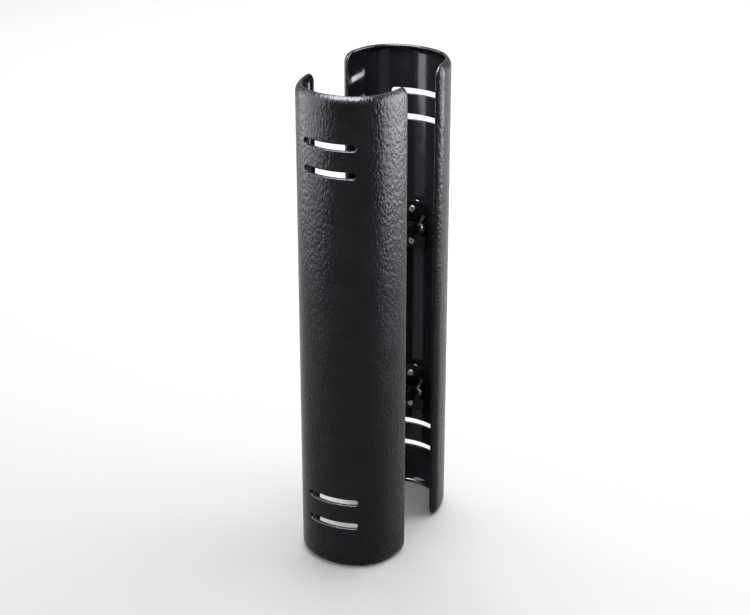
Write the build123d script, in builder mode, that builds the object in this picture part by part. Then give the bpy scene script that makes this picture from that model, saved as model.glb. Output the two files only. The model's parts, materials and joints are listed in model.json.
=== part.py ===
"""Boot shaper: two ventilated half shells that a sprung toggle linkage spreads inside a boot's shaft.

Millimetres. +Z is up, and the origin lies midway between the shells on the surface that they stand on.
The front shell, behind the shin, faces -Y and the rear shell, behind the calf, faces +Y. Everything is
drawn with the shells fully spread.
"""

from build123d import *
import os
from math import cos, sin, radians

os.makedirs("parts", exist_ok=True)

# Shells
SHELL_HEIGHT = 370
SPREAD = 145  # over both shells, from front to rear
WALL = 2.6
PROFILE = ((46, 27), (33, 45), (60, 20))  # outer arcs' radius and turn in degrees, from middle to wing
WING_TIP = 3  # straight end of each wing
LIP_THICKNESS = 5  # curled border round the whole shell
LIP_WIDTH = 6.4
LIP_ROUND = 3.8
CORNER_R = 8

# Ventilation slots, a pair near each end of a shell
SLOT_LENGTH = 40.6
SLOT_WIDTH = 4.5
SLOT_DEPTHS = (36, 56)  # below the top edge, and above the bottom edge
SLOT_BEVEL = 0.5
SLOT_CUT = 10  # from the apex, deep enough to open the ends of the slots
RIM_TOLERANCE = 0.1  # for telling the slots' outer rims from their inner ones

# Toggle linkage: two pairs of arms, one above the other
PIVOT_HEIGHTS = {"lower": 90, "upper": 230}
PIVOT_INSET = 14.5  # from a shell's outer face to its hinge pin
REST_ANGLE = 10  # of the arms above the horizontal
ARM_WIDTH = 16
ARM_ROUND = 4.5
ARM_EDGE_R = 0.8
YOKE_LENGTH = 20  # open stretch of an arm beside the knuckle pin
FORK_GAP = 10.6  # between the ears of a front arm
TONGUE_WIDTH = 10  # over the ears of a rear arm
TONGUE_GAP = 4.6
TONGUE_SHOULDER = 8  # from the knuckle pin to the full width of a rear arm
POCKET = (22, 10, 2.8)  # lightening pocket in an arm: length, width and depth
POCKET_CORNER_R = 2
LINK_THICKNESS = 4
LINK_WIDTH = 10
LINK_GROOVE = (112, 4.4, 0.8)  # length, width and depth

# Pins
PIN_R = 2.0
BORE_R = 2.05
HEAD_R = 3.5
HEAD_LENGTH = 1.2
PIN_TAIL = 1.6  # of the pin beyond the last piece it holds
CLIP_R = 3.6
CLIP_THICKNESS = 0.6
CLIP_MOUTH = 2.4
GROOVE_R = 1.6
GROOVE_WIDTH = 0.7

# Torsion springs on the knuckle pins
WIRE_R = 0.7
COIL_R = 3.1  # to the middle of the wire
COIL_PITCH = 1.5
COIL_TURNS = 3
COIL_START = 9.3  # from the middle of the linkage to the first turn's wire
HOOK_DEPTH = 3.6  # of the legs' bent ends into the arms
HOOK_BORE_R = 0.9
HOOK_BEND_R = 1.2

# Brackets
PLATE_GAP = 7.1  # from a shell's outer face to the back of its bracket
PLATE_THICKNESS = 2
PLATE_SIZE = (21.6, 38)
PLATE_CORNER_R = 3
LUG_GAP = 16.6
LUG_THICKNESS = 2.5
LUG_ROOT = 18
BOSS_R = 4.2
BOSS_SPACING = 26
PILOT_R = 1.25
PILOT_DEPTH = 5.2
SCREW_HOLE_R = 1.6
SCREW_R = 1.2
SCREW_LENGTH = 6.4
SCREW_HEAD_R = 2.8
SCREW_HEAD_LENGTH = 1.8
RECESS_SPAN = 2.6
RECESS_WIDTH = 0.6

# Worked out from the sizes above
apex = -SPREAD / 2
pivot_y = apex + PIVOT_INSET
plate_y = apex + PLATE_GAP
arm_length = -pivot_y / cos(radians(REST_ANGLE))
knuckle_rise = arm_length * sin(radians(REST_ANGLE))
leg_length = COIL_R / sin(radians(REST_ANGLE))  # along an arm, where a level leg crosses its middle
coil_length = COIL_TURNS * COIL_PITCH
lug_face = LUG_GAP / 2 + LUG_THICKNESS
coil_face = COIL_START + coil_length + 2 * WIRE_R
arm_direction = (0, cos(radians(REST_ANGLE)), sin(radians(REST_ANGLE)))
boss_offsets = (-BOSS_SPACING / 2, BOSS_SPACING / 2)  # of a bracket's screws from its pivot's height


def trace(inset):
    """Draw half of the front shell's section that far inside its outer face, and return its two ends."""
    start = Vector(0, apex + inset)
    end = start
    heading = 0
    for radius, turn in PROFILE:
        tangent = (cos(radians(heading)), sin(radians(heading)))
        end = JernArc(start=end, tangent=tangent, radius=radius - inset, arc_size=turn) @ 1
        heading += turn
    end = Line(end, end + WING_TIP * Vector(cos(radians(heading)), sin(radians(heading)))) @ 1
    return start, end


def hollow_section(inset, reach):
    """Face enclosed by the section at that inset, closed by a straight line that far from the apex."""
    with BuildSketch() as section:
        with BuildLine():
            start, end = trace(inset)
            Polyline(end, (end.X, apex + reach + WALL), (0, apex + reach + WALL), start)
        make_face()
        with Locations((0, apex + reach + SHELL_HEIGHT / 2)):
            Rectangle(SHELL_HEIGHT, SHELL_HEIGHT, mode=Mode.SUBTRACT)
        mirror(about=Plane.YZ)
    return section.sketch


# Depth of a shell from its apex to its wings' edges
with BuildLine() as outer_half:
    trace(0)
shell_depth = outer_half.line.bounding_box().max.Y - apex

# Front shell: a curved wall with a curled border, two pairs of slots and four screw bosses
with BuildPart() as front_shell:
    with BuildSketch():
        add(hollow_section(0, shell_depth))
    extrude(amount=SHELL_HEIGHT)
    # Rounded corners where the wings' edges meet the top and the bottom
    fillet(front_shell.faces().sort_by(Axis.Y)[-1].edges().filter_by(Axis.X), radius=CORNER_R)
    # Soft shoulder round the whole outer border
    upright = front_shell.edges().filter_by(Axis.Z)
    level = front_shell.edges().filter_by(Axis.X)
    border = front_shell.edges() - upright - level + upright.group_by(Axis.Y)[-1]
    fillet(border, radius=LIP_ROUND)
    # Hollow inside the border, and the deeper hollow behind it
    with BuildSketch():
        add(hollow_section(LIP_THICKNESS, 2 * shell_depth))
    extrude(amount=SHELL_HEIGHT, mode=Mode.SUBTRACT)
    with BuildSketch(Plane.XY.offset(LIP_WIDTH)):
        add(hollow_section(WALL, shell_depth - LIP_WIDTH))
    extrude(amount=SHELL_HEIGHT - 2 * LIP_WIDTH, mode=Mode.SUBTRACT)
    # Slots
    with BuildSketch(Plane.XZ.offset(-apex + WALL)):
        for depth in SLOT_DEPTHS:
            with Locations((0, depth), (0, SHELL_HEIGHT - depth)):
                SlotOverall(SLOT_LENGTH, SLOT_WIDTH)
    extrude(amount=-WALL - SLOT_CUT, mode=Mode.SUBTRACT)
    middle_r = PROFILE[0][0]
    axis_y = apex + middle_r
    rims = front_shell.edges(Select.LAST).filter_by(
        lambda edge: abs(Vector((edge @ 0.5).X, (edge @ 0.5).Y - axis_y).length - middle_r) < RIM_TOLERANCE
    )
    chamfer(rims, length=SLOT_BEVEL)
    # Screw bosses
    boss_places = [(0, height + offset) for height in PIVOT_HEIGHTS.values() for offset in boss_offsets]
    with BuildSketch(Plane.XZ.offset(-plate_y)):
        with Locations(*boss_places):
            Circle(BOSS_R)
    extrude(amount=PLATE_GAP - WALL / 2)
    with BuildSketch(Plane.XZ.offset(-plate_y)):
        with Locations(*boss_places):
            Circle(PILOT_R)
    extrude(amount=PILOT_DEPTH, mode=Mode.SUBTRACT)


# Brackets: a plate screwed to the bosses, with two lugs for a hinge pin
with BuildPart() as bracket:
    with BuildSketch(Plane.XZ.offset(-plate_y)):
        RectangleRounded(PLATE_SIZE[0], PLATE_SIZE[1], radius=PLATE_CORNER_R)
        with Locations(*[(0, offset) for offset in boss_offsets]):
            Circle(SCREW_HOLE_R, mode=Mode.SUBTRACT)
    extrude(amount=-PLATE_THICKNESS)
    with BuildSketch(Plane.YZ.offset(LUG_GAP / 2)):
        with Locations((pivot_y, 0)):
            Circle(ARM_ROUND)
        with Locations((plate_y + PLATE_THICKNESS / 2, 0)):
            Rectangle(PLATE_THICKNESS, LUG_ROOT)
        make_hull()
    extrude(amount=LUG_THICKNESS)
    mirror(about=Plane.YZ)
    with BuildSketch(Plane.YZ.offset(-lug_face)):
        with Locations((pivot_y, 0)):
            Circle(BORE_R)
    extrude(amount=2 * lug_face, mode=Mode.SUBTRACT)

# Self-tapping screw along Z, its head's underside at the origin, with a cross recess
with BuildPart() as screw:
    Cylinder(SCREW_R, SCREW_LENGTH, align=(Align.CENTER, Align.CENTER, Align.MAX))
    with BuildSketch():
        Circle(SCREW_HEAD_R)
    extrude(amount=SCREW_HEAD_LENGTH)
    fillet(screw.edges().group_by(Axis.Z)[-1], radius=SCREW_HEAD_LENGTH / 2)
    with Locations((0, 0, SCREW_HEAD_LENGTH)):
        Box(RECESS_SPAN, RECESS_WIDTH, SCREW_HEAD_LENGTH, mode=Mode.SUBTRACT)
        Box(RECESS_WIDTH, RECESS_SPAN, SCREW_HEAD_LENGTH, mode=Mode.SUBTRACT)


def headed_pin(face):
    """Pin along Z through pieces whose outer faces lie that far each side of the origin."""
    tail = -face - PIN_TAIL
    groove = -face - GROOVE_WIDTH
    with BuildPart() as pin:
        with BuildSketch(Plane.XZ):
            with BuildLine():
                Polyline(
                    (0, tail),
                    (GROOVE_R, tail),
                    (PIN_R, tail + PIN_R - GROOVE_R),
                    (PIN_R, groove),
                    (GROOVE_R, groove),
                    (GROOVE_R, -face),
                    (PIN_R, -face),
                    (PIN_R, face),
                    (HEAD_R, face),
                    (HEAD_R, face + HEAD_LENGTH),
                    (0, face + HEAD_LENGTH),
                    close=True,
                )
            make_face()
        revolve(axis=Axis.Z)
        fillet(pin.edges().group_by(Axis.Z)[-1], radius=HEAD_LENGTH / 2)
    return pin.part


def retaining_clip(face):
    """Open ring in the groove of a headed pin, with its mouth towards +X."""
    with BuildPart() as clip:
        with BuildSketch(Plane.XY.offset(-face)):
            Circle(CLIP_R)
            Circle(GROOVE_R, mode=Mode.SUBTRACT)
            with Locations((CLIP_R, 0)):
                Rectangle(2 * CLIP_R, CLIP_MOUTH, mode=Mode.SUBTRACT)
        extrude(amount=-CLIP_THICKNESS)
    return clip.part


def torsion_spring():
    """Coil along +Z from COIL_START, with straight legs along Y on its +X side and ends bent towards -Z."""
    hook_y = leg_length * cos(radians(REST_ANGLE))
    hook_end = COIL_START - HOOK_DEPTH
    coil_end = COIL_START + coil_length
    with BuildPart() as spring:
        with BuildLine() as wire:
            FilletPolyline(
                (COIL_R, -hook_y, hook_end),
                (COIL_R, -hook_y, COIL_START),
                (COIL_R, 0, COIL_START),
                radius=HOOK_BEND_R,
            )
            Helix(pitch=COIL_PITCH, height=coil_length, radius=COIL_R, center=(0, 0, COIL_START))
            FilletPolyline(
                (COIL_R, 0, coil_end),
                (COIL_R, hook_y, coil_end),
                (COIL_R, hook_y, hook_end),
                radius=HOOK_BEND_R,
            )
        with BuildSketch(Plane((COIL_R, -hook_y, hook_end))):
            Circle(WIRE_R)
        sweep(path=wire.line, transition=Transition.TRANSFORMED)
    return spring.part


def arm(gap, ears, shoulder):
    """Arm in its own frame: shell pivot at the origin, knuckle along +X, width along Z.

    Its knuckle end is split by the gap, and narrows to the ears that far before the knuckle pin.
    """
    toe = arm_length + ARM_ROUND
    with BuildPart() as beam:
        with BuildSketch():
            with Locations((arm_length / 2, 0)):
                SlotCenterToCenter(arm_length, 2 * ARM_ROUND)
        extrude(amount=ARM_WIDTH / 2, both=True)
        fillet(beam.edges().group_by(Axis.Z)[0] + beam.edges().group_by(Axis.Z)[-1], radius=ARM_EDGE_R)
        with BuildSketch(Plane.XZ):
            with Locations((-ARM_ROUND, 0)):
                Rectangle(toe + ARM_ROUND, ears, align=(Align.MIN, Align.CENTER))
                Rectangle(arm_length + ARM_ROUND - shoulder, ARM_WIDTH, align=(Align.MIN, Align.CENTER))
            with Locations((toe, 0)):
                Rectangle(YOKE_LENGTH + ARM_ROUND, gap, align=(Align.MAX, Align.CENTER), mode=Mode.SUBTRACT)
        extrude(amount=ARM_ROUND, both=True, mode=Mode.INTERSECT)
        for side in (-1, 1):
            with BuildSketch(Plane.XZ.offset(side * ARM_ROUND)):
                with Locations(((arm_length - YOKE_LENGTH) / 2, 0)):
                    RectangleRounded(POCKET[0], POCKET[1], radius=POCKET_CORNER_R)
            extrude(amount=-side * POCKET[2], mode=Mode.SUBTRACT)
        with BuildSketch():
            with Locations((0, 0), (arm_length, 0)):
                Circle(BORE_R)
            with Locations((arm_length - leg_length, 0)):
                Circle(HOOK_BORE_R)
        extrude(amount=ARM_WIDTH, both=True, mode=Mode.SUBTRACT)
    return beam.part


def turned(plane, angle):
    """The plane, turned about the upright axis midway between the shells."""
    return Plane(Location((0, 0, 0), (0, 0, angle)) * plane.location)


def write(name, piece, *planes):
    """Write one node: the piece, moved from its own frame to each of the planes."""
    with BuildPart(*planes) as node:
        add(piece)
    node.part.label = name
    export_step(node.part, f"parts/{name}.step")


hinge_pin = headed_pin(lug_face)
hinge_clip = retaining_clip(lug_face)
knuckle_pin = headed_pin(coil_face)
knuckle_clip = retaining_clip(coil_face)
spring = torsion_spring()
front_arm = arm(FORK_GAP, ARM_WIDTH, 0)
rear_arm = arm(TONGUE_GAP, TONGUE_WIDTH, TONGUE_SHOULDER)

# Link bar between the two knuckles, with a shallow groove down each face
bottom = PIVOT_HEIGHTS["lower"] + knuckle_rise
top = PIVOT_HEIGHTS["upper"] + knuckle_rise
with BuildPart() as link_bar:
    with BuildSketch(Plane.YZ):
        with Locations((0, (bottom + top) / 2)):
            SlotCenterToCenter(top - bottom, LINK_WIDTH, rotation=90)
        with Locations((0, bottom), (0, top)):
            Circle(BORE_R, mode=Mode.SUBTRACT)
    extrude(amount=LINK_THICKNESS / 2, both=True)
    for face in (-LINK_THICKNESS / 2, LINK_THICKNESS / 2):
        with BuildSketch(Plane.YZ.offset(face)):
            with Locations((0, (bottom + top) / 2)):
                SlotOverall(*LINK_GROOVE[:2], rotation=90)
        extrude(amount=LINK_GROOVE[2], both=True, mode=Mode.SUBTRACT)
write("link_bar", link_bar.part, Plane.XY)

# Both shells are one moulding, so what is fixed to them is written twice, the second time turned round
for side, turn in (("front", 0), ("rear", 180)):
    side_arm = rear_arm if turn else front_arm
    screw_planes = []
    clip_planes = []
    write(f"{side}_shell", front_shell.part, turned(Plane.XY, turn))
    for level, height in PIVOT_HEIGHTS.items():
        pin_plane = turned(Plane((0, pivot_y, height), x_dir=(0, 0, -1), z_dir=(1, 0, 0)), turn)
        arm_plane = Plane((0, pivot_y, height), x_dir=arm_direction, z_dir=(1, 0, 0))
        write(f"{side}_{level}_bracket", bracket.part, turned(Plane.XY.offset(height), turn))
        write(f"{side}_{level}_hinge_pin", hinge_pin, pin_plane)
        write(f"{level}_{side}_arm", side_arm, turned(arm_plane, turn))
        clip_planes.append(pin_plane)
        for offset in boss_offsets:
            head = (0, plate_y + PLATE_THICKNESS, height + offset)
            screw_planes.append(turned(Plane(head, z_dir=(0, 1, 0)), turn))
    write(f"{side}_bracket_screws", screw.part, *screw_planes)
    write(f"{side}_hinge_clips", hinge_clip, *clip_planes)

# Knuckle pins, with a spring each side of the arms
for level, height in PIVOT_HEIGHTS.items():
    knuckle = (0, 0, height + knuckle_rise)
    right = Plane(knuckle, x_dir=(0, 0, -1), z_dir=(1, 0, 0))
    left = Plane(knuckle, x_dir=(0, 0, -1), z_dir=(-1, 0, 0))
    write(f"{level}_knuckle_pin", knuckle_pin, right)
    write(f"{level}_knuckle_clip", knuckle_clip, right)
    write(f"{level}_right_spring", spring, right)
    write(f"{level}_left_spring", spring, left)
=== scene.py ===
"""Boot shaper: moulded half shells and sprung toggle linkage around the CAD frame, with light and camera."""

import json
from math import asin, cos, pi, radians, sin, sqrt

import bpy
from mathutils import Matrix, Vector
from mathutils.geometry import delaunay_2d_cdt

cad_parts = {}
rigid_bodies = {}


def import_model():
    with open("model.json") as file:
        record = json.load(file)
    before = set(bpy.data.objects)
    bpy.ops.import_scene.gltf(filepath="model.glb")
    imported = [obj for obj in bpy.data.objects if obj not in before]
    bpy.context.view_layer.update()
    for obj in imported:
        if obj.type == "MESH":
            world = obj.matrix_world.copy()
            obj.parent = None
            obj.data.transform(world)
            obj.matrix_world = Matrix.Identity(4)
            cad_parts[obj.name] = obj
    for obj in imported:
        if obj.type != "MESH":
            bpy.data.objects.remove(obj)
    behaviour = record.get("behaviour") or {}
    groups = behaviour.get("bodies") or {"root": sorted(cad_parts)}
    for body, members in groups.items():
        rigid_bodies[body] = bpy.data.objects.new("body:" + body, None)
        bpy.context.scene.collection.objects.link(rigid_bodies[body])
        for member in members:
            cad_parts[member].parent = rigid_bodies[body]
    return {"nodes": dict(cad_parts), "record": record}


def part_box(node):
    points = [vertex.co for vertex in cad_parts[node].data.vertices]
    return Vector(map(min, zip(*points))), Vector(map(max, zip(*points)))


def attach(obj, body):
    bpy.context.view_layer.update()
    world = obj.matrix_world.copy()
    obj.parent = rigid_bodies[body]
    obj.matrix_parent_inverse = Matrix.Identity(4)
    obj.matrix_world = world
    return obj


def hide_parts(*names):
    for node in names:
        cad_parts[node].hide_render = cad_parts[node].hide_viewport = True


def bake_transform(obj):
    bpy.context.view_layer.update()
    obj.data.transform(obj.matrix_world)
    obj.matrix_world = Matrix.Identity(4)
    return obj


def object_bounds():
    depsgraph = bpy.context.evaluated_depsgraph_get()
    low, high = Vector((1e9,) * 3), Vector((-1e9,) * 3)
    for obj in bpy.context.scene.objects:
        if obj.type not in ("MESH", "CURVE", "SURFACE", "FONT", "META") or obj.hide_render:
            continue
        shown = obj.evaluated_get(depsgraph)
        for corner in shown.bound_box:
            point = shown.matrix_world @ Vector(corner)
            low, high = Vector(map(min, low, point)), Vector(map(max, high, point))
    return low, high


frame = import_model()
cad_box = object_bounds()

MM = 0.001

# ------------------------------------------------------------------ shells, with the CAD's own sizes

ARCS = ((46 * MM, 27), (33 * MM, 45), (60 * MM, 20))  # outer radius and turn, from the middle to a wing
WING_TIP = 3 * MM
WALL = 2.6 * MM
CORNER_R = 8 * MM
SLOT_HALF_CHORD = 20.3 * MM
SLOT_HALF_WIDTH = 2.25 * MM
SLOT_DEPTHS = (36 * MM, 56 * MM)
BOSS_R = 4.2 * MM
BOSS_SPACING = 26 * MM

CURL_R = 8 * MM  # outer radius that the border curls inwards on
CURL_TURN = radians(50)
CURL_REACH = CURL_R * sin(CURL_TURN) + WALL / 2 * (1 - sin(CURL_TURN))  # of the curl along the surface
SLOT_ROUND = 1.3 * MM  # reach of the soft bevel round a slot
SLOT_ROUND_DEPTH = 0.8 * SLOT_ROUND
SLOT_INNER_ROUND = 0.3 * MM  # of a slot's edge on the inner face
BOSS_FOOT = ((1.2, -0.2), (0.5, 0.25), (0.15, 0.7), (0, 1.3))  # mm outside a boss and behind the wall
BOSS_ROUND = 0.3 * MM
SHARPEST = 0.8 * MM  # least radius of a ring's corners

ROW_STEP = 6 * MM  # mesh rows up a shell
COLUMN_STEP = 3 * MM  # and columns round it
CORNER_STEPS = 8
CURL_STEPS = 8
BOSS_STEPS = 32
CLOSEST = 1e-6  # in mm, for joining points when a face is filled

shell_low, shell_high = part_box("front_shell")
shell_height = shell_high.z
apex_y = shell_low.y
half_arc = sum(radius * radians(turn) for radius, turn in ARCS) + WING_TIP
slot_half_arc = ARCS[0][0] * asin(SLOT_HALF_CHORD / ARCS[0][0])
slot_heights = [*SLOT_DEPTHS, *(shell_height - depth for depth in SLOT_DEPTHS)]


def section(s):
    """The outer face's section that far round from its middle: sideways place, depth and heading."""
    x = depth = heading = 0.0
    left = abs(s)
    for radius, turn in ARCS:
        step = min(left, radius * radians(turn))
        end = heading + step / radius
        x += radius * (sin(end) - sin(heading))
        depth += radius * (cos(heading) - cos(end))
        heading = end
        left -= step
    return x + left * cos(heading), depth + left * sin(heading), heading


def on_shell(s, z, inset, across, up, out):
    """Point of the front shell and the normal made of parts across, up and out of its surface there."""
    side = 1 if s >= 0 else -1
    x, depth, heading = section(s)
    outward = Vector((side * sin(heading), -cos(heading), 0))
    round_it = Vector((cos(heading), side * sin(heading), 0))
    place = Vector((side * x, apex_y + depth, z)) - inset * outward
    return place, across * round_it + Vector((0, 0, up)) + out * outward


def outline(inset):
    """Ring that far inside the shell's outline, as (s, z, and the two parts of the way inwards)."""
    corner = max(CORNER_R, inset + SHARPEST)
    radius = corner - inset
    rows = round((shell_height - 2 * CORNER_R) / ROW_STEP)
    columns = round(2 * (half_arc - CORNER_R) / COLUMN_STEP)
    ring = []
    for quarter, steps in enumerate((rows, columns, rows, columns)):
        centre_s = (half_arc - corner) * (1 if quarter in (0, 1) else -1)
        centre_z = corner if quarter in (0, 3) else shell_height - corner
        first = (quarter - 1) * pi / 2
        for i in range(CORNER_STEPS + 1):
            angle = first + i / CORNER_STEPS * pi / 2
            inside = (-cos(angle), -sin(angle))
            ring.append((centre_s - radius * inside[0], centre_z - radius * inside[1], *inside))
        s, z, *inside = ring[-1]
        run = (2 * half_arc if quarter % 2 else shell_height) - 2 * corner
        for i in range(1, steps):
            ring.append((s + inside[1] * run * i / steps, z - inside[0] * run * i / steps, *inside))
    return ring


def slot_ring(middle, outset):
    """Ring that far outside a slot's hole, as (s, z, and the two parts of the way outwards)."""
    radius = SLOT_HALF_WIDTH + outset
    reach = slot_half_arc - SLOT_HALF_WIDTH
    steps = round(2 * reach / COLUMN_STEP)
    ring = []
    for side in (1, -1):
        for i in range(2 * CORNER_STEPS + 1):
            angle = i / (2 * CORNER_STEPS) * pi - side * pi / 2
            away = (cos(angle), sin(angle))
            ring.append((side * reach + radius * away[0], middle + radius * away[1], *away))
        s, z, *away = ring[-1]
        ring += [(s - side * 2 * reach * i / steps, z, *away) for i in range(1, steps)]
    return ring


def turned_normals(path):
    """Unit normals of a path of (reach, inset) points from a shell's outer face to its inner one."""
    normals = []
    for i in range(len(path)):
        before, after = path[max(i - 1, 0)], path[min(i + 1, len(path) - 1)]
        along = Vector((after[0] - before[0], after[1] - before[1])).normalized()
        normals.append((-along.y, along.x))
    normals[0] = (0, -1)
    normals[-1] = (0, 1)
    return normals


def border_path():
    """Cross-section of the curled border, from the outer face round its edge to the inner face."""
    bend = [i / CURL_STEPS * CURL_TURN for i in range(CURL_STEPS + 1)]
    half = [i / CURL_STEPS * pi for i in range(1, CURL_STEPS)]
    path = [(CURL_REACH - CURL_R * sin(a), CURL_R * (1 - cos(a))) for a in bend]
    end_reach = path[-1][0] + WALL / 2 * sin(CURL_TURN)
    end_inset = path[-1][1] + WALL / 2 * cos(CURL_TURN)
    for a in half:
        past = CURL_TURN + a
        path.append((end_reach - WALL / 2 * sin(past), end_inset - WALL / 2 * cos(past)))
    inner_r = CURL_R - WALL
    path += [(CURL_REACH - inner_r * sin(a), CURL_R - inner_r * cos(a)) for a in bend[::-1]]
    return path


def slot_path():
    """Cross-section of a slot's edge, from the outer face through the hole to the inner face."""
    quarter = [i / CURL_STEPS * pi / 2 for i in range(CURL_STEPS + 1)]
    path = [(SLOT_ROUND * (1 - sin(a)), SLOT_ROUND_DEPTH * (1 - cos(a))) for a in quarter]
    path += [(SLOT_INNER_ROUND * (1 - cos(a)), WALL - SLOT_INNER_ROUND * (1 - sin(a))) for a in quarter[::2]]
    return path


class Moulding:
    """Points, normals and faces of one shell, in the front shell's place."""

    def __init__(self):
        self.places = []
        self.normals = []
        self.faces = []
        self.finishes = []

    def add(self, place, normal):
        self.places.append(place)
        self.normals.append(normal.normalized())
        return len(self.places) - 1

    def face(self, corners, finish):
        """Add a face, turned so that it looks the way its points' normals do."""
        a, b, c = (self.places[i] for i in corners[:3])
        if (b - a).cross(c - a).dot(sum((self.normals[i] for i in corners), Vector())) < 0:
            corners = corners[::-1]
        self.faces.append(corners)
        self.finishes.append(finish)

    def swept(self, ring_at, path, split):
        """Edge surface: the rings of each path point, joined in turn. Returns the first and last rings."""
        rings = []
        for (reach, inset), (across, inwards) in zip(path, turned_normals(path)):
            ring = []
            for s, z, ds, dz in ring_at(reach):
                place, normal = on_shell(s, z, inset, across * ds, across * dz, -inwards)
                ring.append((self.add(place, normal), s, z))
            rings.append(ring)
        for step, (one, two) in enumerate(zip(rings, rings[1:])):
            for i in range(len(one)):
                j = (i + 1) % len(one)
                self.face([one[i][0], one[j][0], two[j][0], two[i][0]], 0 if step < split else 1)
        return rings[0], rings[-1]

    def filled(self, border, holes, inset, out, finish):
        """Face of the wall inside a border ring, with its holes left open."""
        flat, known, edges = [], [], []
        for ring in (border, *holes):
            start = len(flat)
            flat += [(s, z) for _, s, z in ring]
            known += [index for index, _, _ in ring]
            edges += [(start + i, start + (i + 1) % len(ring)) for i in range(len(ring))]
        reach = max(s for _, s, _ in border)
        low, high = min(z for _, _, z in border), max(z for _, _, z in border)
        columns = round(2 * reach / COLUMN_STEP)
        rows = round((high - low) / ROW_STEP)
        clear = COLUMN_STEP / 2
        for i in range(1, columns):
            for j in range(1, rows):
                s = -reach + 2 * reach * i / columns
                z = low + (high - low) * j / rows
                if all(away_from_slot(s, z, middle) > SLOT_ROUND + clear for middle in slot_heights):
                    flat.append((s, z))
                    place, normal = on_shell(s, z, inset, 0, 0, out)
                    known.append(self.add(place, normal))
        points = [Vector((s, z)) / MM for s, z in flat]
        _, _, triangles, sources, _, _ = delaunay_2d_cdt(points, edges, [], 1, CLOSEST)
        for triangle in triangles:
            corners = [sources[i][0] for i in triangle]
            s = sum(flat[i][0] for i in corners) / 3
            z = sum(flat[i][1] for i in corners) / 3
            if all(away_from_slot(s, z, middle) > 0 for middle in slot_heights):
                self.face([known[i] for i in corners], finish)

    def boss(self, middle, end_y):
        """Screw boss on the inner face at that height, with a filleted foot, ending at that depth."""
        path = [(BOSS_R + beyond * MM, apex_y + WALL + rise * MM) for beyond, rise in BOSS_FOOT]
        path += [(BOSS_R, end_y - BOSS_ROUND), (BOSS_R - BOSS_ROUND, end_y)]
        rings = []
        for i, (reach, y) in enumerate(path):
            before, after = path[max(i - 1, 0)], path[min(i + 1, len(path) - 1)]
            slope = Vector((after[1] - before[1], before[0] - after[0])).normalized()
            ring = []
            for k in range(BOSS_STEPS):
                x, z = cos(2 * pi * k / BOSS_STEPS), sin(2 * pi * k / BOSS_STEPS)
                normal = Vector((slope.x * x, slope.y, slope.x * z))
                ring.append(self.add(Vector((reach * x, y, middle + reach * z)), normal))
            rings.append(ring)
        for one, two in zip(rings, rings[1:]):
            for i in range(BOSS_STEPS):
                j = (i + 1) % BOSS_STEPS
                self.face([one[i], one[j], two[j], two[i]], 1)
        self.face([self.add(self.places[i].copy(), Vector((0, 1, 0))) for i in rings[-1]], 1)
        self.face([self.add(self.places[i].copy(), Vector((0, -1, 0))) for i in rings[0]], 1)

    def piece(self, name, turn, materials):
        """The shell as an object: the front one if turn is 1, or turned half round for the rear if -1."""
        mesh = bpy.data.meshes.new(name)
        flip = Vector((turn, turn, 1))
        mesh.from_pydata([place * flip for place in self.places], [], self.faces)
        for material in materials:
            mesh.materials.append(material)
        for polygon, finish in zip(mesh.polygons, self.finishes):
            polygon.material_index = finish
            polygon.use_smooth = True
        mesh.normals_split_custom_set_from_vertices([normal * flip for normal in self.normals])
        shell = bpy.data.objects.new(name, mesh)
        bpy.context.scene.collection.objects.link(shell)
        return shell


def away_from_slot(s, z, middle):
    """Distance outside a slot's hole, or less than 0 inside it."""
    beyond = max(abs(s) - (slot_half_arc - SLOT_HALF_WIDTH), 0)
    return sqrt(beyond**2 + (z - middle) ** 2) - SLOT_HALF_WIDTH


def make_moulding():
    """One shell: its curled border, its slots' edges, both faces and the screw bosses."""
    moulding = Moulding()
    path = border_path()
    outer, inner = moulding.swept(outline, path, split=CURL_STEPS + CURL_STEPS // 2)
    outer_slots, inner_slots = [], []
    for middle in slot_heights:
        rim = slot_path()
        first, last = moulding.swept(lambda reach: slot_ring(middle, reach), rim, split=len(rim) - 4)
        outer_slots.append(first)
        inner_slots.append(last)
    moulding.filled(outer, outer_slots, 0, 1, 0)
    moulding.filled(inner, inner_slots, WALL, -1, 1)
    for level in ("upper", "lower"):
        low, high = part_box(f"front_{level}_bracket")
        for side in (-1, 1):
            moulding.boss((low.z + high.z) / 2 + side * BOSS_SPACING / 2, low.y)
    return moulding


# ------------------------------------------------------------------ materials

PEBBLE = 1.8 * MM  # across a pebble of the leather grain
PEBBLE_HEIGHT = 0.18 * MM
PEBBLE_STRETCH = 0.5
SHEEN = (0.88, 0.84, 1, 1)  # the black plastic's faint violet sheen
RUBBED = (0.018, 0.018, 0.019, 1)  # the grained plastic where its edges are worn
WEAR_PATCH = 12 * MM  # across a patch of wear
NYLON_EDGE = 0.35 * MM  # rounding of the linkage's edges
STEEL_EDGE = 0.2 * MM


def new_material(name, **values):
    """A Principled material with those socket values, and its node tree."""
    material = bpy.data.materials.new(name)
    material.use_nodes = True
    tree = material.node_tree
    shader = tree.nodes["Principled BSDF"]
    for socket, value in values.items():
        shader.inputs[socket.replace("_", " ")].default_value = value
    return material, tree, shader


def add_node(tree, kind, inputs=(), **settings):
    """A shader node with its settings, and its inputs linked from sockets or set to values."""
    made = tree.nodes.new(kind)
    for name, value in settings.items():
        setattr(made, name, value)
    for socket, value in dict(inputs).items():
        if isinstance(value, bpy.types.NodeSocket):
            tree.links.new(value, made.inputs[socket])
        else:
            made.inputs[socket].default_value = value
    return made


def object_place(tree, stretch=(1, 1, 1)):
    """Place on the object, in metres, stretched for grain that runs one way."""
    place = add_node(tree, "ShaderNodeTexCoord").outputs["Object"]
    return add_node(tree, "ShaderNodeMapping", {"Vector": place, "Scale": stretch}).outputs["Vector"]


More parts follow.
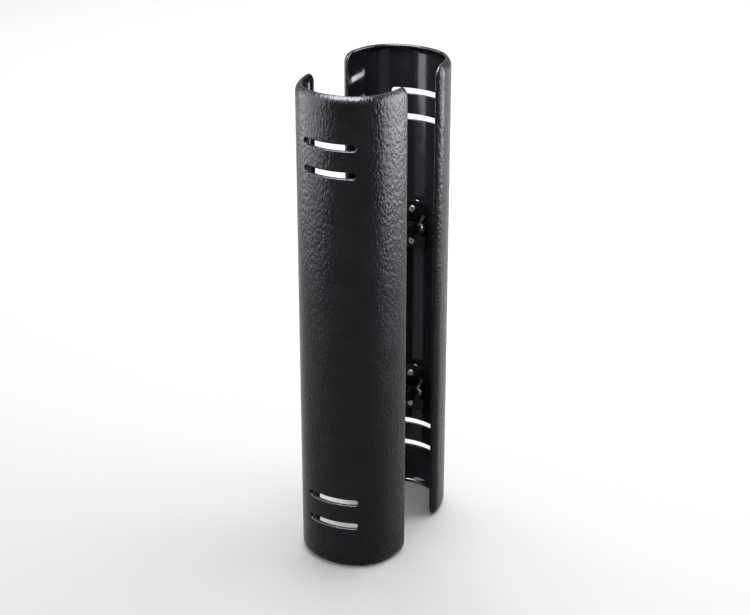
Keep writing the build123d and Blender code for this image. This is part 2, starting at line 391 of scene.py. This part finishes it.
def noise(tree, place, scale, detail=2.0, roughness=0.5):
    """Noise from 0 to 1."""
    inputs = {"Vector": place, "Scale": scale, "Detail": detail, "Roughness": roughness}
    return add_node(tree, "ShaderNodeTexNoise", inputs).outputs["Fac"]


def ramp(tree, factor, low, high, low_value, high_value):
    """Value that goes from low_value to high_value as the factor goes from low to high."""
    inputs = {"Value": factor, "From Min": low, "From Max": high, "To Min": low_value, "To Max": high_value}
    return add_node(tree, "ShaderNodeMapRange", inputs).outputs["Result"]


def tint(tree, factor, dark, light):
    """Colour between two greys or colours."""
    mix = add_node(tree, "ShaderNodeMix", {"Factor": factor}, data_type="RGBA")
    mix.inputs["A"].default_value = (*dark, 1)
    mix.inputs["B"].default_value = (*light, 1)
    return mix.outputs["Result"]


def bump(tree, height_socket, distance, strength=1.0, normal=None):
    """Normal bent by a height from 0 to 1 times a distance in metres."""
    inputs = {"Height": height_socket, "Distance": distance, "Strength": strength}
    if normal:
        inputs["Normal"] = normal
    return add_node(tree, "ShaderNodeBump", inputs).outputs["Normal"]


def wear(tree):
    """1 on worn outer edges, 0 elsewhere, broken up by noise."""
    edge = add_node(tree, "ShaderNodeNewGeometry").outputs["Pointiness"]
    worn = ramp(tree, edge, 0.53, 0.6, 0, 1)
    patches = ramp(tree, noise(tree, object_place(tree), 1 / WEAR_PATCH, 3), 0.4, 0.6, 0.2, 1)
    return add_node(tree, "ShaderNodeMath", {0: worn, 1: patches}, operation="MULTIPLY").outputs[0]


def grained_plastic():
    """Outside of a shell: black plastic with a fine leather grain and a soft sheen."""
    material, tree, shader = new_material(
        "grained_black_plastic", Specular_IOR_Level=0.16, Specular_Tint=SHEEN
    )
    place = object_place(tree)
    pebbles = object_place(tree, (1, 1, PEBBLE_STRETCH))
    inputs = {"Vector": place, "Scale": 420.0, "Detail": 2.0}
    wander = add_node(tree, "ShaderNodeTexNoise", inputs).outputs["Color"]
    inputs = {0: wander, 1: (PEBBLE,) * 3}
    wander = add_node(tree, "ShaderNodeVectorMath", inputs, operation="MULTIPLY").outputs[0]
    bent = add_node(tree, "ShaderNodeVectorMath", {0: pebbles, 1: wander}, operation="ADD").outputs[0]
    domes = add_node(
        tree,
        "ShaderNodeTexVoronoi",
        {"Vector": bent, "Scale": 1 / PEBBLE, "Smoothness": 0.35},
        feature="SMOOTH_F1",
    ).outputs["Distance"]
    normal = bump(tree, ramp(tree, domes, 0.1, 0.75, 1, 0), PEBBLE_HEIGHT)
    normal = bump(tree, noise(tree, place, 2600, 3, 0.6), 0.03 * MM, 0.8, normal)
    normal = bump(tree, noise(tree, place, 130, 2), 0.3 * MM, 0.5, normal)
    patches = ramp(tree, noise(tree, place, 45, 4), 0.35, 0.65, 0, 1)
    shade = tint(tree, patches, (0.0007,) * 3, (0.0012, 0.0012, 0.0013))
    worn = add_node(tree, "ShaderNodeMix", {"Factor": wear(tree)}, data_type="RGBA")
    tree.links.new(shade, worn.inputs["A"])
    worn.inputs["B"].default_value = RUBBED
    tree.links.new(worn.outputs["Result"], shader.inputs["Base Color"])
    tree.links.new(ramp(tree, noise(tree, place, 90, 3), 0.3, 0.7, 0.24, 0.31), shader.inputs["Roughness"])
    tree.links.new(normal, shader.inputs["Normal"])
    return material


def gloss_plastic():
    """Inside of a shell: the same plastic off a polished core, with faint waves and scuffs."""
    material, tree, shader = new_material("gloss_black_plastic", Specular_IOR_Level=0.21, Specular_Tint=SHEEN)
    place = object_place(tree)
    upright = object_place(tree, (1, 1, 0.12))
    normal = bump(tree, noise(tree, upright, 38, 1), 0.22 * MM, 0.6)
    normal = bump(tree, noise(tree, place, 1500, 2), 0.006 * MM, 0.5, normal)
    scuffs = ramp(tree, noise(tree, place, 60, 5, 0.65), 0.45, 0.75, 0.09, 0.2)
    shade = tint(tree, noise(tree, upright, 30, 3), (0.0015, 0.0015, 0.0018), (0.003, 0.003, 0.0035))
    tree.links.new(shade, shader.inputs["Base Color"])
    tree.links.new(scuffs, shader.inputs["Roughness"])
    tree.links.new(normal, shader.inputs["Normal"])
    return material


def nylon():
    """Brackets, arms and link bar: satin black nylon with a fine spark-eroded texture."""
    material, tree, shader = new_material("satin_black_nylon", Specular_IOR_Level=0.3)
    place = object_place(tree)
    rounded = add_node(tree, "ShaderNodeBevel", {"Radius": NYLON_EDGE}, samples=6).outputs["Normal"]
    normal = bump(tree, noise(tree, place, 2200, 3, 0.6), 0.03 * MM, 0.8, rounded)
    shade = tint(tree, noise(tree, place, 110, 4), (0.005, 0.005, 0.0055), (0.01, 0.01, 0.011))
    tree.links.new(shade, shader.inputs["Base Color"])
    tree.links.new(ramp(tree, noise(tree, place, 140, 3), 0.3, 0.7, 0.42, 0.56), shader.inputs["Roughness"])
    tree.links.new(normal, shader.inputs["Normal"])
    return material


def steel(name, dark, light, rough, stretch):
    """Bright steel between two greys, with drawing or turning marks along the axis with the least stretch."""
    material, tree, shader = new_material(name, Metallic=1.0)
    place = object_place(tree)
    marks = noise(tree, object_place(tree, stretch), 900, 4, 0.6)
    rounded = add_node(tree, "ShaderNodeBevel", {"Radius": STEEL_EDGE}, samples=6).outputs["Normal"]
    normal = bump(tree, marks, 0.01 * MM, 0.7, rounded)
    tree.links.new(tint(tree, noise(tree, place, 260, 4), dark, light), shader.inputs["Base Color"])
    tree.links.new(ramp(tree, marks, 0.3, 0.7, rough, rough + 0.16), shader.inputs["Roughness"])
    tree.links.new(normal, shader.inputs["Normal"])
    return material


SHELL_FINISHES = [grained_plastic(), gloss_plastic()]
FINISHES = {
    "linkage_plastic": nylon(),
    "pin_steel": steel("zinc_plated_pins", (0.42, 0.42, 0.43), (0.6,) * 3, 0.26, (0.1, 1, 1)),
    "spring_steel": steel("drawn_spring_wire", (0.28, 0.28, 0.29), (0.42, 0.42, 0.43), 0.28, (1, 0.2, 1)),
    "screw_steel": steel("zinc_plated_screws", (0.42, 0.42, 0.44), (0.56, 0.56, 0.58), 0.28, (1, 0.3, 1)),
}

# ------------------------------------------------------------------ shells and CAD pieces

moulding = make_moulding()
for side, turn in (("front", 1), ("rear", -1)):
    shell = moulding.piece(f"{side}_shell_moulding", turn, SHELL_FINISHES)
    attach(shell, side)
    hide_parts(f"{side}_shell")

slots = {entry["node"]: entry["material_slot"] for entry in frame["record"]["subparts"]}
for name, part in frame["nodes"].items():
    if slots[name] in FINISHES:
        part.data.materials.clear()
        part.data.materials.append(FINISHES[slots[name]])

# ------------------------------------------------------------------ torsion springs beside the knuckles

COIL_R = 3.1 * MM
WIRE_R = 0.7 * MM
COIL_TURNS = 3
COIL_POINTS = 28  # a turn
HOOK_DEPTH = 3.6 * MM  # of a leg's bent end into an arm
HOOK_BEND = 1.2 * MM
BEND_STEPS = 4
WIRE_RESOLUTION = 4


def spring_line(knuckle, side):
    """The wire's middle line: hook, front leg, coil, rear leg and hook, for the spring on that side."""
    low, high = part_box("upper_right_spring")
    hook_x, coil_start, coil_end = low.x, low.x + HOOK_DEPTH, high.x - WIRE_R
    hook_y = high.y - WIRE_R

    def leg(x, sign):
        """Hook and leg from its tip to the coil."""
        points = [(hook_x, sign * hook_y)]
        for i in range(BEND_STEPS + 1):
            angle = i / BEND_STEPS * pi / 2
            points.append((x - HOOK_BEND * (1 - sin(angle)), sign * (hook_y - HOOK_BEND * (1 - cos(angle)))))
        return [(px, py, -COIL_R) for px, py in points]

    line = leg(coil_start, -1)
    steps = COIL_TURNS * COIL_POINTS
    for i in range(steps + 1):
        angle = 2 * pi * i / COIL_POINTS
        x = coil_start + (coil_end - coil_start) * i / steps
        line.append((x, COIL_R * sin(angle), -COIL_R * cos(angle)))
    line += leg(coil_end, 1)[::-1]
    return [knuckle + Vector((side * x, side * y, z)) for x, y, z in line]


def wire_mesh(name, line, radius):
    """Round wire along a line, as a mesh object."""
    curve = bpy.data.curves.new(name, "CURVE")
    curve.dimensions = "3D"
    curve.bevel_depth = radius
    curve.bevel_resolution = WIRE_RESOLUTION
    curve.use_fill_caps = True
    spline = curve.splines.new("POLY")
    spline.points.add(len(line) - 1)
    for point, place in zip(spline.points, line):
        point.co = (*place, 1)
    carrier = bpy.data.objects.new(name + "_line", curve)
    bpy.context.scene.collection.objects.link(carrier)
    bpy.context.view_layer.update()
    mesh = bpy.data.meshes.new_from_object(carrier.evaluated_get(bpy.context.evaluated_depsgraph_get()))
    bpy.data.objects.remove(carrier)
    mesh.shade_smooth()
    made = bpy.data.objects.new(name, mesh)
    bpy.context.scene.collection.objects.link(made)
    return made


for level in ("upper", "lower"):
    low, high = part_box(f"{level}_knuckle_pin")
    knuckle = Vector((0, 0, (low.z + high.z) / 2))
    for side_name, side in (("right", 1), ("left", -1)):
        spring = wire_mesh(f"{level}_{side_name}_torsion_spring", spring_line(knuckle, side), WIRE_R)
        spring.data.materials.clear()
        spring.data.materials.append(FINISHES["spring_steel"])
        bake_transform(spring)
        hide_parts(f"{level}_{side_name}_spring")

# ------------------------------------------------------------------ floor, light and camera

FLOOR_REACH = 12
SIDE_HEIGHT = 0.45  # of the middle of the side softboxes, which stand upright on the floor
CAMERA_AZIMUTH = 27
CAMERA_DISTANCE = 1.2
CAMERA_ABOVE = 0.35  # over the shells' top edge
CAMERA_LENS = 84

middle = (cad_box[0] + cad_box[1]) / 2


def at_azimuth(azimuth, distance, z):
    """Point round the object, with azimuth 0 in front of the front shell and 90 on its right."""
    return Vector((distance * sin(radians(azimuth)), -distance * cos(radians(azimuth)), z))


def aim(thing, target):
    """Point a light or camera at a place."""
    thing.rotation_euler = (target - thing.location).to_track_quat("-Z", "Y").to_euler()


def softbox(name, place, width, tall, radiance, target, lit=None):
    """Rectangular studio light that shines on everything, or on the objects of one collection."""
    light = bpy.data.lights.new(name, "AREA")
    light.shape = "RECTANGLE"
    light.size, light.size_y = width, tall
    light.energy = radiance * pi * width * tall
    made = bpy.data.objects.new(name, light)
    made.location = place
    bpy.context.scene.collection.objects.link(made)
    aim(made, target)
    if lit:
        made.light_linking.receiver_collection = lit


def make_floor():
    """Plain pale floor that the shells stand on."""
    corners = [(x * FLOOR_REACH, y * FLOOR_REACH, 0) for x, y in ((-1, -1), (1, -1), (1, 1), (-1, 1))]
    mesh = bpy.data.meshes.new("floor")
    mesh.from_pydata(corners, [], [(0, 1, 2, 3)])
    material, tree, shader = new_material("pale_floor", Roughness=0.6, Specular_IOR_Level=0.2)
    shade = tint(tree, noise(tree, object_place(tree), 3, 2), (0.74,) * 3, (0.76,) * 3)
    tree.links.new(shade, shader.inputs["Base Color"])
    mesh.materials.append(material)
    floor = bpy.data.objects.new("floor", mesh)
    bpy.context.scene.collection.objects.link(floor)


# The black shells alone are lit by the strong softboxes, and the back softbox and the sky light everything
shells_only = bpy.data.collections.new("lit_by_softboxes")
for thing in bpy.context.scene.objects:
    if thing.name.endswith("_shell_moulding"):
        shells_only.objects.link(thing)
make_floor()
left_place, right_place = at_azimuth(-62, 0.85, SIDE_HEIGHT), at_azimuth(114, 0.9, SIDE_HEIGHT)
side_target, top_edge = Vector((0, 0, SIDE_HEIGHT)), Vector((0, 0, shell_height))
back_place, back_target = Vector((0, 1.0, 1.5)), Vector((0, 1.0, 0))
softbox("left_softbox", left_place, 1.1, 2 * SIDE_HEIGHT, 9, side_target, shells_only)
softbox("right_softbox", right_place, 1.0, 2 * SIDE_HEIGHT, 19, side_target, shells_only)
softbox("key_softbox", at_azimuth(-10, 0.56, 1.5), 1.3, 0.9, 70, top_edge, shells_only)
softbox("back_softbox", back_place, 2.6, 1.8, 2.7, back_target)

world = bpy.data.worlds.new("studio")
world.use_nodes = True
sky = world.node_tree.nodes["Background"]
sky.inputs["Color"].default_value = (1, 1, 1, 1)
sky.inputs["Strength"].default_value = 0.6
bpy.context.scene.world = world
bpy.context.scene.view_settings.view_transform = "Standard"

camera = bpy.data.objects.new("camera", bpy.data.cameras.new("camera"))
camera.location = at_azimuth(CAMERA_AZIMUTH, CAMERA_DISTANCE, shell_height + CAMERA_ABOVE)
camera.data.lens = CAMERA_LENS
bpy.context.scene.collection.objects.link(camera)
aim(camera, middle)
bpy.context.scene.camera = camera
